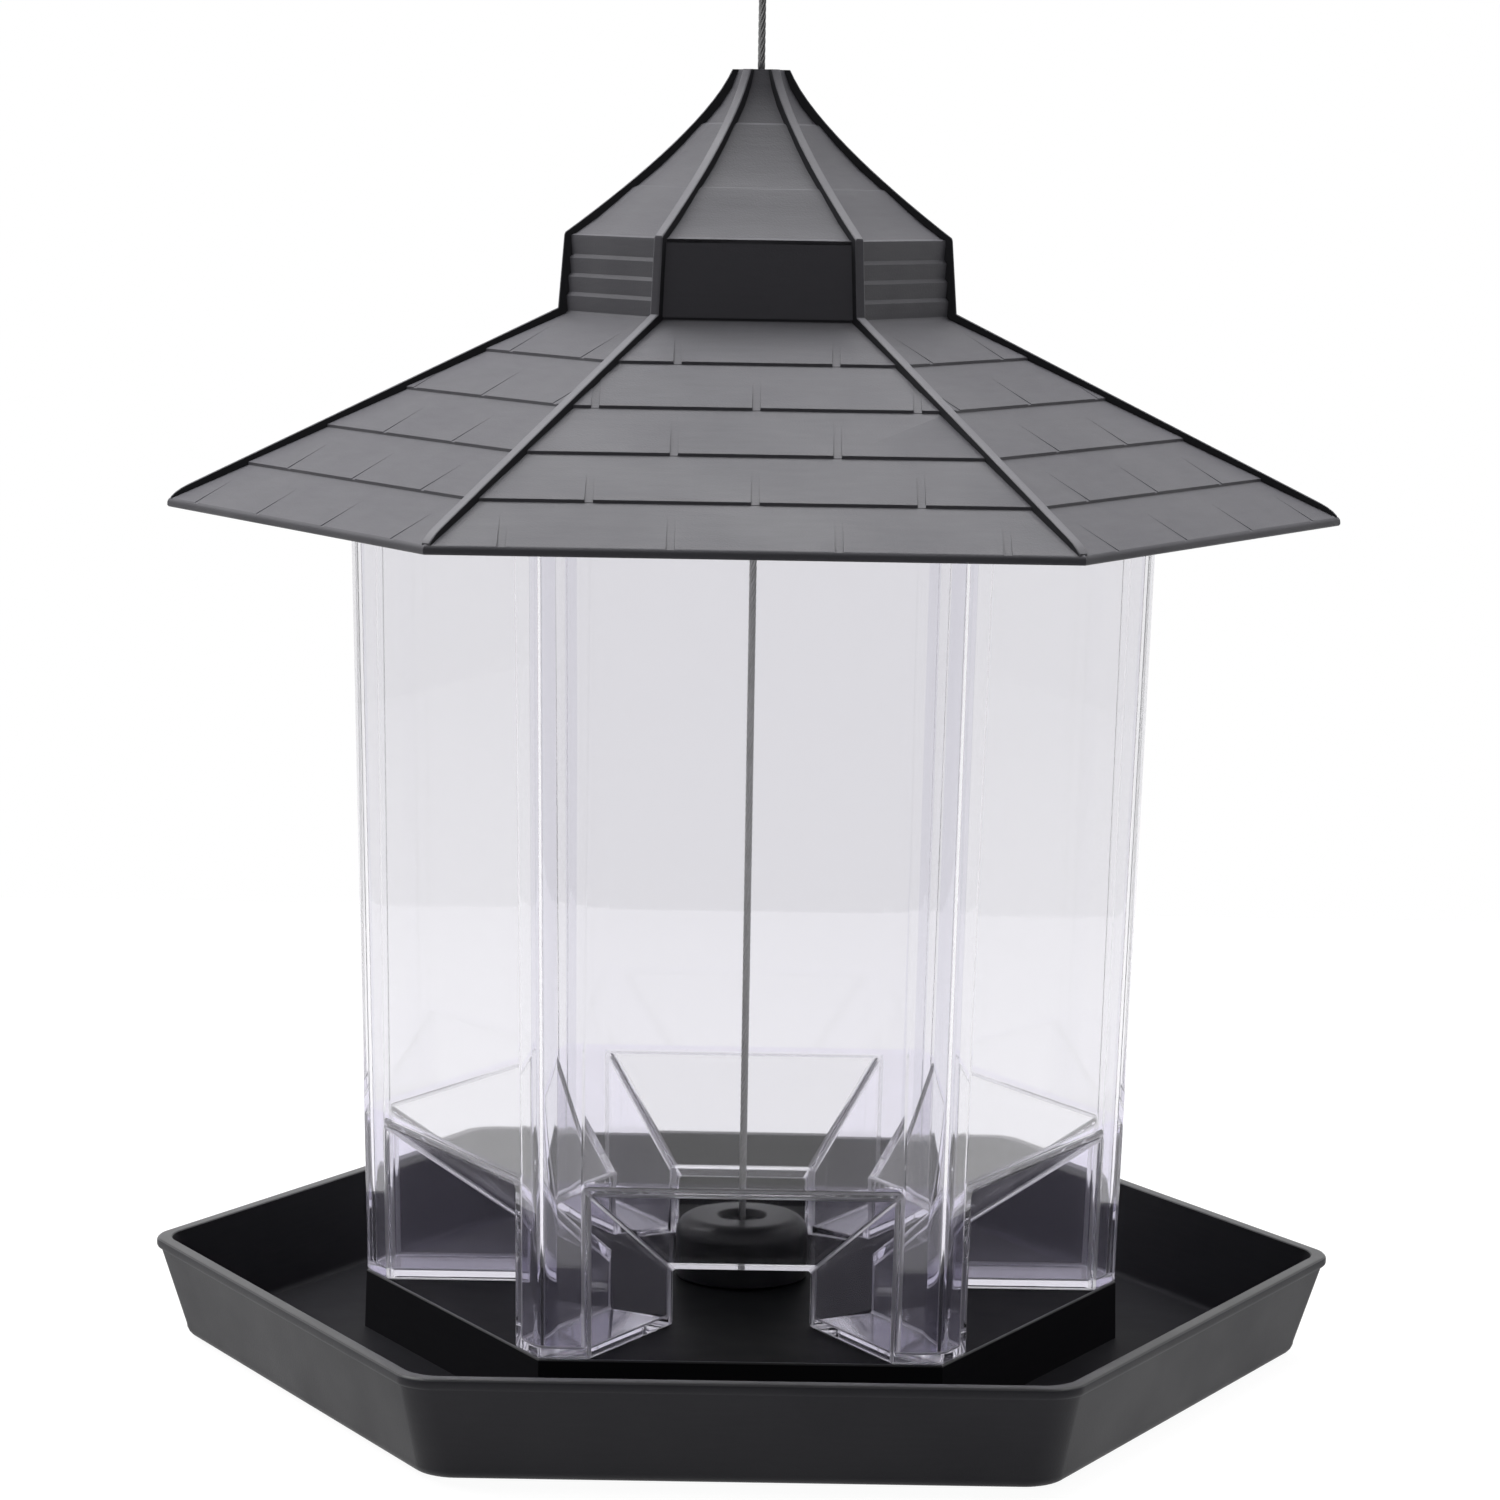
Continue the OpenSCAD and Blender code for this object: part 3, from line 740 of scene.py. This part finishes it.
def buildRib(make, level):
    outline, topCount = ribOutline(make, level)
    rib = drawOutline("hipRib", [(r, -make["ribW"] / 2, z) for r, z in outline])
    bpy.ops.mesh.edge_face_add()
    bpy.ops.mesh.extrude_region_move(TRANSFORM_OT_translate={"value": (0, make["ribW"], 0)})
    cleanSkin()
    tops = [Vector((r, 0, z)) for r, z in outline[: topCount - 1]]

    def alongTop(e):
        a, b = (Vector((v.co.x, 0, v.co.z)) for v in e.verts)
        return (a - b).length > weld and all(min((p - t).length for t in tops) < weld for p in (a, b))

    pick(rib, "EDGE", alongTop)
    bpy.ops.mesh.bevel(offset=make["ribRound"], segments=3, affect="EDGES")
    endEdit()
    wear(rib, *roofSkins.values())
    # The ribs' side walls wear the darker painted shade, and their tops the lighter painted highlight
    for polygon in rib.data.polygons:
        polygon.material_index = skinIndex(roofSkins, "shade" if abs(polygon.normal.y) > 0.9 else "rib")
    return rib


# The lantern's front panel is plain, without slats, and wears a lighter tone as painted light
def buildFrontPanel(make, level):
    low, high = make["lanternR"], level["lanternTopR"]
    back = make["slatStep"] + make["panelSink"]
    panel = drawOutline("frontPanel", [
        (-low / 2, -low * cos30, level["lanternZ"]), (low / 2, -low * cos30, level["lanternZ"]),
        (high / 2, -high * cos30, level["lanternTop"]), (-high / 2, -high * cos30, level["lanternTop"]),
    ])
    bpy.ops.mesh.edge_face_add()
    bpy.ops.mesh.extrude_region_move(TRANSFORM_OT_translate={"value": (0, back, 0)})
    cleanSkin()
    endEdit()
    wear(panel, *roofSkins.values())
    for polygon in panel.data.polygons:
        polygon.material_index = skinIndex(roofSkins, "panel")
    return panel


# The roof's front sixth, between two hips, with its shingle joints
def buildFace(make, level, depth):
    face = drawOutline("roofShell", radial(roofOutline(make, level), 300))
    bpy.ops.mesh.spin(steps=1, angle=math.radians(60), center=(0, 0, 0), axis=(0, 0, 1))
    cleanSkin()
    for k in range(make["courses"]):
        cutJoints(face, make, level, k, depth)
    cleanSkin()
    endEdit()
    return face


def buildRoof(make):
    level = roofLevels(make)
    faces = turnedCopies(buildFace(make, level, make["frontJoint"]), (0, 180))
    faces += turnedCopies(buildFace(make, level, make["sideJoint"]), (60, 120, 240, 300))
    roof = joinPieces(faces)
    startEdit(roof)
    cleanSkin()
    endEdit()
    wear(roof, *roofSkins.values())
    drillBore(roof, make["bore"], level["tipZ"], 3 * make["tipH"])
    roundEdges(roof, make["edge"], 2, 28)
    ribs = joinPieces(turnedCopies(buildRib(make, level), range(0, 360, 60)))
    roof = joinPieces([roof, ribs, buildFrontPanel(make, level)])
    smooth(roof, 30)
    return roof


roof = buildRoof(roofMake)
finishPiece(roof, "roof", "roof_plastic", "roof")


# Hopper: the clear moulding, with soft inside corners, fine rounded edges and two fine lines on each wall.
# The inside corners wear a darker tint as painted shade, and the rounded edges of the lower part a whiter
# one as a painted highlight
hopperMake = {"insideRound": 2.6 * mm, "outsideRound": 0.7 * mm, "edge": 0.55 * mm,
              "lineAt": 30.4 * mm, "lineW": 0.5 * mm, "lineSlant": 0.1 * mm, "lineH": 0.25 * mm,
              "portTop": 48.5 * mm, "edgeTop": 47.2 * mm, "roofTilt": (0.3, 0.9),
              "tall": 60 * mm, "wallFrom": 50 * mm, "cornerBand": 4.2 * mm, "cornerTurn": 0.5}
hopperSkins = {"wall": clearPlastic, "edge": clearEdge, "corner": clearCorner, "port": clearPort}


# Raises one fine upright line on the inside of a wall
def addLine(hopper, make, side, place):
    turned = math.radians(30 + 60 * side)
    out = Vector((math.cos(turned), math.sin(turned), 0))
    along = Vector((-out.y, out.x, 0))
    half = make["lineW"] / 2

    def onWall(f):
        c = f.calc_center_median()
        tall = max(v.co.z for v in f.verts) - min(v.co.z for v in f.verts)
        return f.normal.dot(out) < -0.99 and c.dot(out) > make["wallFrom"] and tall > make["tall"]

    for edge in (place - half, place + half):
        pick(hopper, "FACE", onWall)
        bpy.ops.mesh.bisect(plane_co=along * edge, plane_no=along)
    pick(hopper, "FACE", lambda f: onWall(f) and abs(f.calc_center_median().dot(along) - place) < half)
    bpy.ops.mesh.inset(thickness=make["lineSlant"], depth=make["lineH"])


def buildHopper(make):
    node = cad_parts["hopper"]
    hopper = bpy.data.objects.new("hopperShell", node.data.copy())
    hopper.data.name = "hopperShell"
    scene.collection.objects.link(hopper)
    wear(hopper, *hopperSkins.values())
    startEdit(hopper)
    bpy.ops.mesh.select_all(action="SELECT")
    bpy.ops.mesh.remove_doubles(threshold=weld)
    bpy.ops.mesh.dissolve_limited(angle_limit=math.radians(0.5))
    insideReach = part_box("hopper")[1].x - make["cornerBand"]
    wall, edge, corner, port = (skinIndex(hopperSkins, part) for part in ("wall", "edge", "corner", "port"))

    def upright(e, inside):
        a, b = (v.co for v in e.verts)
        if abs(a.z - b.z) < make["tall"]:
            return False
        reach = (a + b).to_2d().length / 2
        return (reach < insideReach) == inside

    def outsideCorner(e):
        return upright(e, False) and len(e.link_faces) == 2 and e.calc_face_angle(0) > make["cornerTurn"]

    # The inside corners are rounded into the darker tint, a painted shade
    pick(hopper, "EDGE", lambda e: upright(e, True))
    bpy.ops.mesh.bevel(offset=make["insideRound"], segments=5, affect="EDGES", material=corner)
    pick(hopper, "EDGE", outsideCorner)
    bpy.ops.mesh.bevel(offset=make["outsideRound"], segments=3, affect="EDGES")
    endEdit()
    # The fine rounding takes the whiter painted highlight
    roundEdges(hopper, make["edge"], 3, 24, edge, clamp=False)
    startEdit(hopper)
    for side in range(6):
        for place in (-make["lineAt"], make["lineAt"]):
            addLine(hopper, make, side, place)
    bpy.ops.mesh.select_all(action="SELECT")
    bpy.ops.mesh.bisect(plane_co=(0, 0, make["portTop"]), plane_no=(0, 0, 1))
    endEdit()
    steep, level = make["roofTilt"]
    for polygon in hopper.data.polygons:
        portRoof = steep < abs(polygon.normal.z) < level
        if polygon.material_index == wall and polygon.center.z < make["portTop"] and not portRoof:
            polygon.material_index = port
        elif polygon.material_index == edge and polygon.center.z > make["edgeTop"]:
            polygon.material_index = wall
    smooth(hopper, 40)
    return hopper


hopper = buildHopper(hopperMake)
finishPiece(hopper, "hopper", "clear_plastic", "hopper")


# Tray: a hexagon turned from one corner's outline, then its upright corners rounded
trayMake = {
    "rimR": 121 * mm, "height": 20.5 * mm, "draft": 5.2 * mm, "wall": 2 * mm, "cornerRound": 7 * mm,
    "edgeRound": 2.5 * mm, "lipH": 2.2 * mm, "lipOut": 0.9 * mm, "lipRound": 0.8 * mm, "rimRound": 0.5 * mm,
    "floorRound": 1.5 * mm, "plateauR": 76.8 * mm, "plateauH": 14 * mm, "plateauDraft": 0.3 * mm,
    "plateauRound": 0.4 * mm, "postR": 8 * mm, "postTop": 22 * mm, "pocketR": 3.2 * mm, "pocketZ": 17.3 * mm,
    "cornerFrom": 4 * mm, "slack": 0.1 * mm,
}
traySkins = {"outside": trayPlastic, "inside": trayInside, "centre": trayCentre, "edge": trayEdge}


def trayOutline(make):
    wallTopR = make["rimR"] - make["lipOut"]
    baseR = wallTopR - make["draft"]
    inset = make["wall"] / cos30
    top, lip = make["height"], make["lipRound"]
    edge = make["edgeRound"]
    outline = arc((baseR - edge, edge), edge, -90, 0, 5)
    outline += [(wallTopR, top - make["lipH"])]
    outline += arc((make["rimR"] - lip, top - make["lipH"] + lip), lip, -60, 0, 2)
    outline += arc((make["rimR"] - lip, top - lip), lip, 0, 90, 3)
    rim = make["rimRound"]
    outline += arc((wallTopR - inset + rim, top - rim), rim, 90, 180, 3)
    fillet = make["floorRound"]
    outline += arc((baseR - inset - fillet, make["wall"] + fillet), fillet, 0, -90, 4)
    outline += [(make["plateauR"] + make["plateauDraft"], make["wall"])]
    soft = make["plateauRound"]
    outline += arc((make["plateauR"] - soft, make["plateauH"] - soft), soft, 0, 90, 3)
    under = make["plateauR"] - inset
    outline += [(0, make["plateauH"]), (0, make["plateauH"] - make["wall"])]
    outline += [(under, make["plateauH"] - make["wall"]), (under + make["plateauDraft"], 0)]
    return outline


def buildTray(make):
    tray = lathe("trayBody", trayOutline(make), 6)

    def corner(e, least, most):
        mid = sum((v.co for v in e.verts), Vector()) / 2
        reach = mid.to_2d().length
        turned = math.degrees(math.atan2(mid.y, mid.x)) % 60
        a, b = (v.co for v in e.verts)
        along = abs(a.to_2d().length - b.to_2d().length) + abs(a.z - b.z) > weld
        sameTurn = abs(a.x * b.y - a.y * b.x) < 1e-8
        return along and sameTurn and min(turned, 60 - turned) < 0.1 and least < reach < most

    wallFoot = make["rimR"] - make["lipOut"] - make["draft"] - make["wall"] / cos30 - make["cornerFrom"]
    startEdit(tray)
    pick(tray, "EDGE", lambda e: corner(e, wallFoot, 1))
    bpy.ops.mesh.bevel(offset=make["cornerRound"] * math.tan(math.radians(30)), segments=7, affect="EDGES")
    cleanSkin()
    endEdit()
    return tray


# Which part of the tray a face is: outside, inside with a darker tone as painted shade, raised centre with a
# near-black tone as painted shade, or an edge with a lighter tone as a painted highlight
def trayPart(polygon, make):
    c, n = polygon.center, polygon.normal
    reach = c.to_2d().length
    if n.z > 0.97 and abs(c.z - make["plateauH"]) < make["slack"]:
        return "centre"
    if n.z > 0.5 and c.z > make["height"] - make["lipRound"]:
        return "edge"
    onShoulder = c.z > make["plateauH"] - make["plateauRound"] and n.z > 0.1
    if reach < make["plateauR"] + make["slack"] and onShoulder:
        return "edge" if reach > make["postR"] + 1 * mm else "inside"
    facesIn = n.x * c.x + n.y * c.y < -0.2 * reach
    if facesIn and reach < make["plateauR"] and c.z < make["plateauH"]:
        return "outside"
    deep = 0.5 * make["wall"] < c.z < make["height"] - make["slack"]
    inTrough = facesIn or n.z > 0.4 or reach < make["plateauR"] + 2 * mm
    return "inside" if deep and inTrough and n.z > -0.5 else "outside"


# The post stands in the raised centre, with a pocket for the cable's stop
def buildPost(make):
    foot = make["plateauH"] - make["wall"] / 2
    return lathe("trayPost", [
        (0, foot), (make["postR"], foot), (make["postR"], make["postTop"]),
        (make["pocketR"], make["postTop"]), (make["pocketR"], make["pocketZ"]), (0, make["pocketZ"]),
    ], 48)


tray = joinPieces([buildTray(trayMake), buildPost(trayMake)])
smooth(tray, 30)
wear(tray, *traySkins.values())
# The tray's faces take their tones by part: painted shade inside and on the centre, painted highlight on the
# edges
for polygon in tray.data.polygons:
    polygon.material_index = skinIndex(traySkins, trayPart(polygon, trayMake))
finishPiece(tray, "tray", "tray_plastic", "tray")


# Knob: a turned cap with a rounded shoulder and a dished hole for the cable
knobMake = {
    "r": 13.5 * mm, "low": 14.3 * mm, "high": 28 * mm, "shoulder": 3.5 * mm, "dishR": 5 * mm,
    "dish": 1.6 * mm, "bore": 1.35 * mm, "socketR": 8.3 * mm, "ceiling": 24 * mm, "soft": 0.4 * mm,
}


def knobOutline(make):
    soft, shoulder = make["soft"], make["shoulder"]
    outline = [(make["socketR"], make["low"]), (make["r"] - soft, make["low"])]
    outline += [(make["r"], make["low"] + soft)]
    outline += arc((make["r"] - shoulder, make["high"] - shoulder), shoulder, 0, 90, 8)
    outline += arc((make["dishR"] + soft, make["high"] - soft), soft, 90, 180, 3)
    outline += [(make["dishR"] - soft, make["high"] - make["dish"])]
    outline += [(make["bore"], make["high"] - make["dish"] - soft), (make["bore"], make["ceiling"])]
    outline += [(make["socketR"], make["ceiling"])]
    return outline


knob = lathe("lockKnob", knobOutline(knobMake), 72)
smooth(knob, 32)
wear(knob, knobPlastic)
finishPiece(knob, "lock_knob", "knob_plastic", "lock_knob")


# Stage: white floor that keeps a faint shadow, white backdrop and surround, and soft studio lamps
stageMake = {"floorSize": 5.0, "floorGap": 0.4 * mm, "floorGlow": 0.95, "floorKeep": 0.17, "bounce": 0.2,
             "wallBack": 0.53, "wallH": 0.8, "wallGlow": 1.0, "wallKeep": 0.0, "world": 0.12}


# One value that is 1 for the named kinds of ray
def seenDirectly(tree, kinds):
    path = placeNode(tree, "ShaderNodeLightPath", -600, 500)
    found = path.outputs[kinds[0]]
    for k, kind in enumerate(kinds[1:]):
        larger = placeNode(tree, "ShaderNodeMath", -300 + 150 * k, 500)
        larger.operation = "MAXIMUM"
        tree.links.new(found, larger.inputs[0])
        tree.links.new(path.outputs[kind], larger.inputs[1])
        found = larger.outputs["Value"]
    return found


# White where it is looked at, directly or through glass, and dull as a source of light
def whiteCard(name, glowing, keep, make):
    material, tree, shader, output = startMaterial(name)
    shader.inputs["Base Color"].default_value = (make["bounce"], make["bounce"], make["bounce"], 1)
    shader.inputs["Roughness"].default_value = 0.8
    glow = placeNode(tree, "ShaderNodeEmission", 0, 300, Strength=glowing)
    kept = placeNode(tree, "ShaderNodeBsdfDiffuse", 0, 150)
    kept.inputs["Color"].default_value = (keep, keep, keep, 1)
    both = placeNode(tree, "ShaderNodeAddShader", 200, 200)
    seen = seenDirectly(tree, ("Is Camera Ray", "Is Glossy Ray", "Is Transmission Ray"))
    either = placeNode(tree, "ShaderNodeMixShader", 450, 200)
    tree.links.new(glow.outputs["Emission"], both.inputs[0])
    tree.links.new(kept.outputs["BSDF"], both.inputs[1])
    tree.links.new(seen, either.inputs["Fac"])
    tree.links.new(shader.outputs["BSDF"], either.inputs[1])
    tree.links.new(both.outputs["Shader"], either.inputs[2])
    tree.links.new(either.outputs["Shader"], output.inputs["Surface"])
    return material


# Lets a look from behind or below pass through the card
def openFromBehind(material):
    tree = material.node_tree
    surface = tree.nodes["Material Output"].inputs["Surface"]
    front = surface.links[0].from_socket
    side = placeNode(tree, "ShaderNodeNewGeometry", 450, 600)
    clear = placeNode(tree, "ShaderNodeBsdfTransparent", 450, 400)
    either = placeNode(tree, "ShaderNodeMixShader", 600, 300)
    tree.links.new(side.outputs["Backfacing"], either.inputs["Fac"])
    tree.links.new(front, either.inputs[1])
    tree.links.new(clear.outputs["BSDF"], either.inputs[2])
    tree.links.new(either.outputs["Shader"], surface)
    return material


def buildFloor(make):
    bpy.ops.object.select_all(action="DESELECT")
    bpy.ops.mesh.primitive_plane_add(size=make["floorSize"], location=(0, 0, -make["floorGap"]))
    floor = newPiece("floor")
    wear(floor, openFromBehind(whiteCard("paleFloor", make["floorGlow"], make["floorKeep"], make)))
    bpy.ops.object.select_all(action="DESELECT")
    bpy.ops.mesh.primitive_plane_add(size=make["floorSize"], rotation=(math.pi / 2, 0, 0),
                                     location=(0, make["wallBack"], make["wallH"] / 2))
    wall = newPiece("backdrop")
    bpy.ops.transform.resize(value=(1, 1, make["wallH"] / make["floorSize"]))
    wear(wall, openFromBehind(whiteCard("paleBackdrop", make["wallGlow"], make["wallKeep"], make)))


def buildWorld(make):
    world = bpy.data.worlds.new("studio")
    scene.world = world
    world.use_nodes = True
    tree = world.node_tree
    tree.nodes.clear()
    room = placeNode(tree, "ShaderNodeBackground", 0, 0, Strength=make["world"])
    white = placeNode(tree, "ShaderNodeBackground", 0, 200, Strength=1.0)
    white.inputs["Color"].default_value = (1, 1, 1, 1)
    room.inputs["Color"].default_value = (1, 1, 1, 1)
    seen = seenDirectly(tree, ("Is Camera Ray", "Is Transmission Ray"))
    either = placeNode(tree, "ShaderNodeMixShader", 200, 100)
    output = placeNode(tree, "ShaderNodeOutputWorld", 400, 100)
    tree.links.new(seen, either.inputs["Fac"])
    tree.links.new(room.outputs["Background"], either.inputs[1])
    tree.links.new(white.outputs["Background"], either.inputs[2])
    tree.links.new(either.outputs["Shader"], output.inputs["Surface"])


lampAim = (0, 0, 0.12)
lamps = [
    {"name": "topLamp", "place": (-0.15, 0.28, 1.5), "size": 1.1, "power": 23.0},
    {"name": "leftLamp", "place": (-1.0, 0.45, 1.25), "size": 0.8, "power": 11.0},
    {"name": "rightLamp", "place": (0.7, 0.45, 1.45), "size": 0.7, "power": 7.5},
]


def buildLamp(make):
    bpy.ops.object.light_add(type="AREA", location=make["place"])
    lamp = bpy.context.object
    lamp.name = make["name"]
    lamp.data.shape = "SQUARE"
    lamp.data.size = make["size"]
    lamp.data.energy = make["power"]
    aim = Vector(lampAim) - Vector(make["place"])
    lamp.rotation_euler = aim.to_track_quat("-Z", "Y").to_euler()
    lamp.visible_camera = False


buildFloor(stageMake)
buildWorld(stageMake)
for make in lamps:
    buildLamp(make)
scene.view_settings.view_transform = "Standard"
scene.cycles.max_bounces = 40
scene.cycles.glossy_bounces = 24
scene.cycles.transmission_bounces = 32
print("stage ready")
